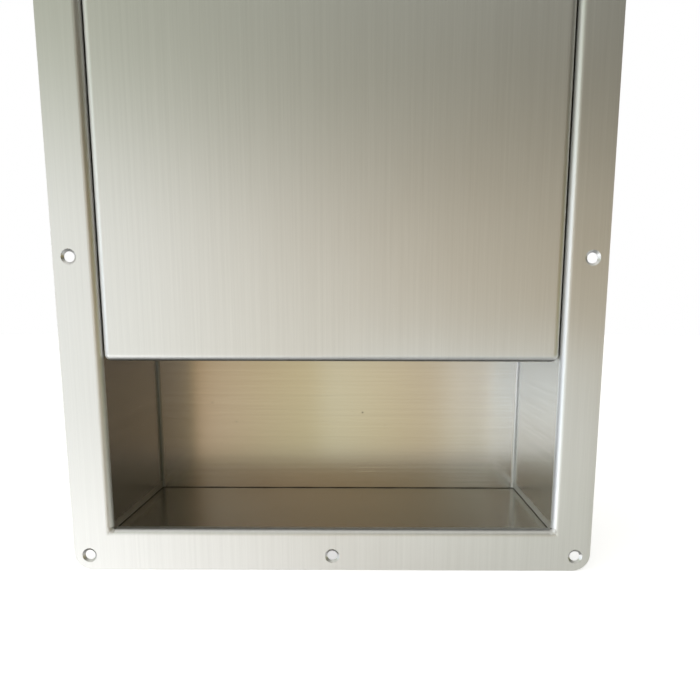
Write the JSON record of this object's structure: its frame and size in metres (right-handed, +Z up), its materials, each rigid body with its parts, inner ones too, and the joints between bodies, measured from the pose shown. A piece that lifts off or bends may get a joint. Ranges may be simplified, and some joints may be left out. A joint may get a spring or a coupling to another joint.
{
  "type": "recessed standpipe cabinet",
  "caption": "Recessed brushed steel wall cabinet with a screw flange, a lift-up upper door over an angle hose valve with handwheel and cap, and an open bay below.",
  "frame": {"origin": "centre of the screw-hole pattern, on the wall side of the flange", "axes": "+X to the right seen from the front, +Y into the wall, +Z up"},
  "size_m": [0.45, 0.132, 0.535],
  "materials": {
    "stainless_face": "upright brushed stainless",
    "stainless_tub": "brushed stainless",
    "stainless_door": "upright brushed stainless",
    "zinc_steel": "bright zinc plate",
    "nylon": "natural nylon",
    "rubber": "moulded black rubber",
    "red_pipe": "red paint on steel pipe",
    "clamp_steel": "galvanised clamp",
    "cast_brass": "sand-cast brass",
    "turned_brass": "turned brass",
    "fibre": "fibre gasket",
    "ptfe": "packing rings",
    "red_wheel": "red enamel on cast iron"
  },
  "bodies": {
    "cabinet": {"face_frame": "stainless_face", "tub_wrap": "stainless_tub", "floor_plate": "stainless_tub", "top_plate": "stainless_tub", "pivot_bolts": "zinc_steel", "pivot_washers": "zinc_steel", "pivot_nuts": "zinc_steel", "door_stops": "stainless_tub", "door_bumpers": "rubber", "pipe_grommet": "rubber", "inlet_pipe": "red_pipe", "pipe_saddle": "clamp_steel", "pipe_strap": "clamp_steel", "strap_bolts": "zinc_steel", "strap_nuts": "zinc_steel", "valve_body": "cast_brass", "seat_ring": "turned_brass", "bonnet_gasket": "fibre", "bonnet": "turned_brass", "stem_packing": "ptfe", "gland_nut": "turned_brass"},
    "door": {"door_panel": "stainless_door", "pivot_bushes": "nylon"},
    "valve_disc": {"disc_holder": "turned_brass", "disc_seal": "rubber", "disc_nut": "turned_brass"},
    "valve_wheel": {"stem": "turned_brass", "handwheel": "red_wheel", "handwheel_washer": "zinc_steel", "handwheel_nut": "zinc_steel"},
    "cap": {"outlet_cap": "cast_brass", "cap_gasket": "rubber"}
  },
  "joints": [
    {"name": "door_lift", "type": "hinge", "parent": "cabinet", "child": "door", "pos_m": [0, 0.008, 0.218], "axis": [-1, 0, 0], "range_deg": [0, 105]},
    {"name": "disc_rise", "type": "slide", "parent": "cabinet", "child": "valve_disc", "axis": [1, 0, 0], "range_m": [0, 0.0121]},
    {"name": "wheel_turn", "type": "hinge", "parent": "valve_disc", "child": "valve_wheel", "pos_m": [0.087, 0.072, 0.08], "axis": [1, 0, 0], "range_deg": [0, 1440]},
    {"name": "cap_off", "type": "slide", "parent": "cabinet", "child": "cap", "axis": [0, 0, -1], "range_m": [0, 0.09]}
  ],
  "couplings": [
    {"joint": "disc_rise", "follows": "wheel_turn", "m_per_rad": 0.00047746}
  ]
}
